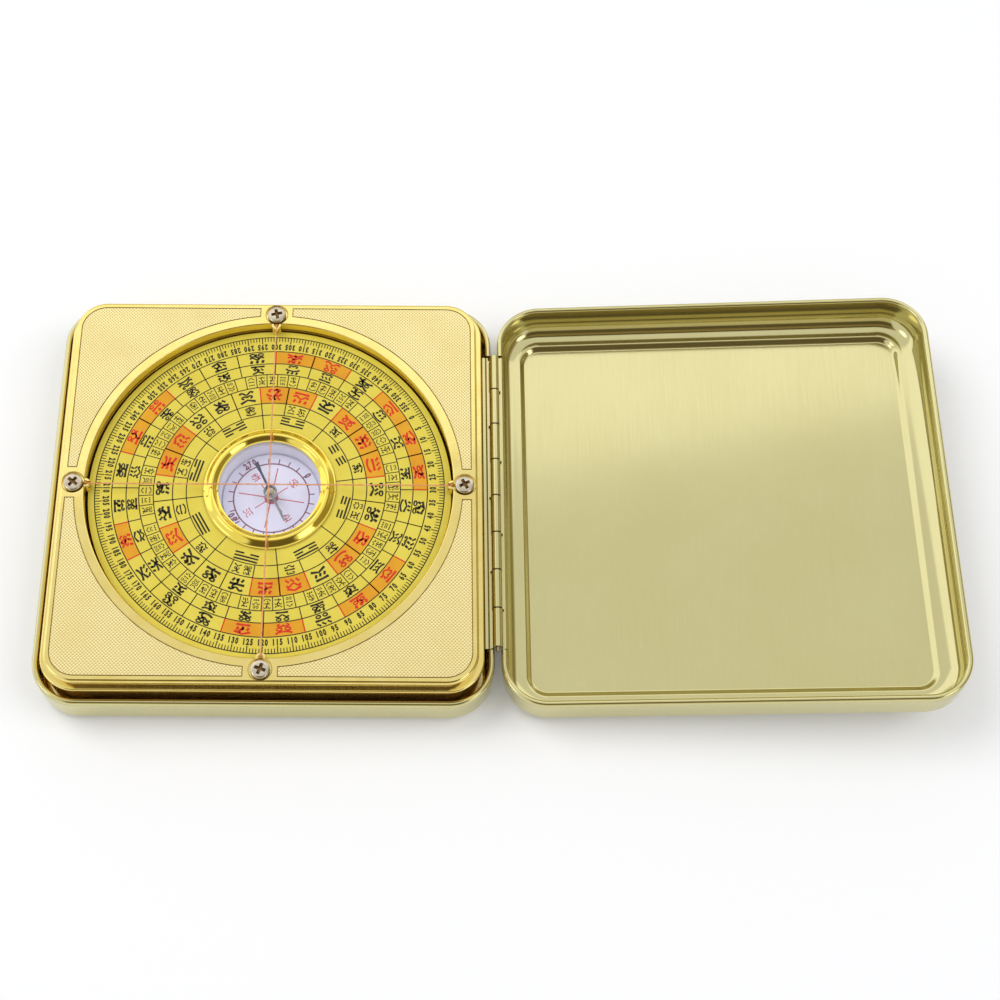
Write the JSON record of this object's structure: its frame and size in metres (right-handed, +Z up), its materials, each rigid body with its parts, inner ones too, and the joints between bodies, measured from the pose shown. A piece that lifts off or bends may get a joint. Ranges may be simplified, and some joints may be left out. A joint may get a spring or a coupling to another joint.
{
  "type": "feng shui compass",
  "caption": "Pocket feng shui compass: a hinged square tin case with an empty lid, a moulded insert, a turning round dial, crossed sighting threads and a small compass needle under a window.",
  "frame": {"origin": "middle of the open case's footprint, on the surface that it rests on", "axes": "+X from the dial side across the hinge to the empty lid, +Y away from the viewer along the hinge, +Z up"},
  "size_m": [0.1714, 0.084, 0.0155],
  "materials": {
    "champagne_tin": "gold lacquered tinplate, fine brushed",
    "gold_plating": "bright gold plating",
    "nickel": "nickel plated",
    "brass": "bright",
    "disc_metal": "gold lacquered",
    "steel": "bright",
    "blued_steel": "blued",
    "yellow_print": "printed, satin",
    "white_card": "printed, matte",
    "white_plastic": "satin",
    "black_plastic": "matte",
    "clear_plastic": "clear",
    "red_thread": "twisted nylon",
    "foam_tape": "foam with adhesive"
  },
  "bodies": {
    "base": {"base_tray": "champagne_tin", "base_hinge_leaf": "champagne_tin", "hinge_pin": "steel", "insert_frame": "gold_plating", "insert_back": "black_plastic", "mounting_tape_left": "foam_tape", "mounting_tape_right": "foam_tape", "thread_screw_right": "nickel", "thread_screw_far": "nickel", "thread_screw_left": "nickel", "thread_screw_near": "nickel", "crosshair_thread_across": "red_thread", "crosshair_thread_along": "red_thread"},
    "lid": {"lid_tray": "champagne_tin", "lid_hinge_leaf": "champagne_tin"},
    "dial": {"dial_disc": "disc_metal", "dial_label": "yellow_print", "compass_bezel": "gold_plating", "compass_capsule": "white_plastic", "compass_card": "white_card", "compass_lens": "clear_plastic", "needle_pivot": "steel", "dial_retainer": "steel", "hub_screw": "nickel"},
    "needle": {"needle": "blued_steel", "needle_cap": "brass"}
  },
  "joints": [
    {"name": "lid_hinge", "type": "hinge", "parent": "base", "child": "lid", "pos_m": [-0.00014, 0, 0.00945], "axis": [0, -1, 0], "range_deg": [0, 175.8]},
    {"name": "dial_spin", "type": "hinge", "parent": "base", "child": "dial", "pos_m": [-0.04324, 0, 0.0105], "axis": [0, 0, 1], "continuous": true},
    {"name": "needle_spin", "type": "hinge", "parent": "dial", "child": "needle", "pos_m": [-0.04324, 0, 0.0108], "axis": [0, 0, 1], "continuous": true}
  ]
}
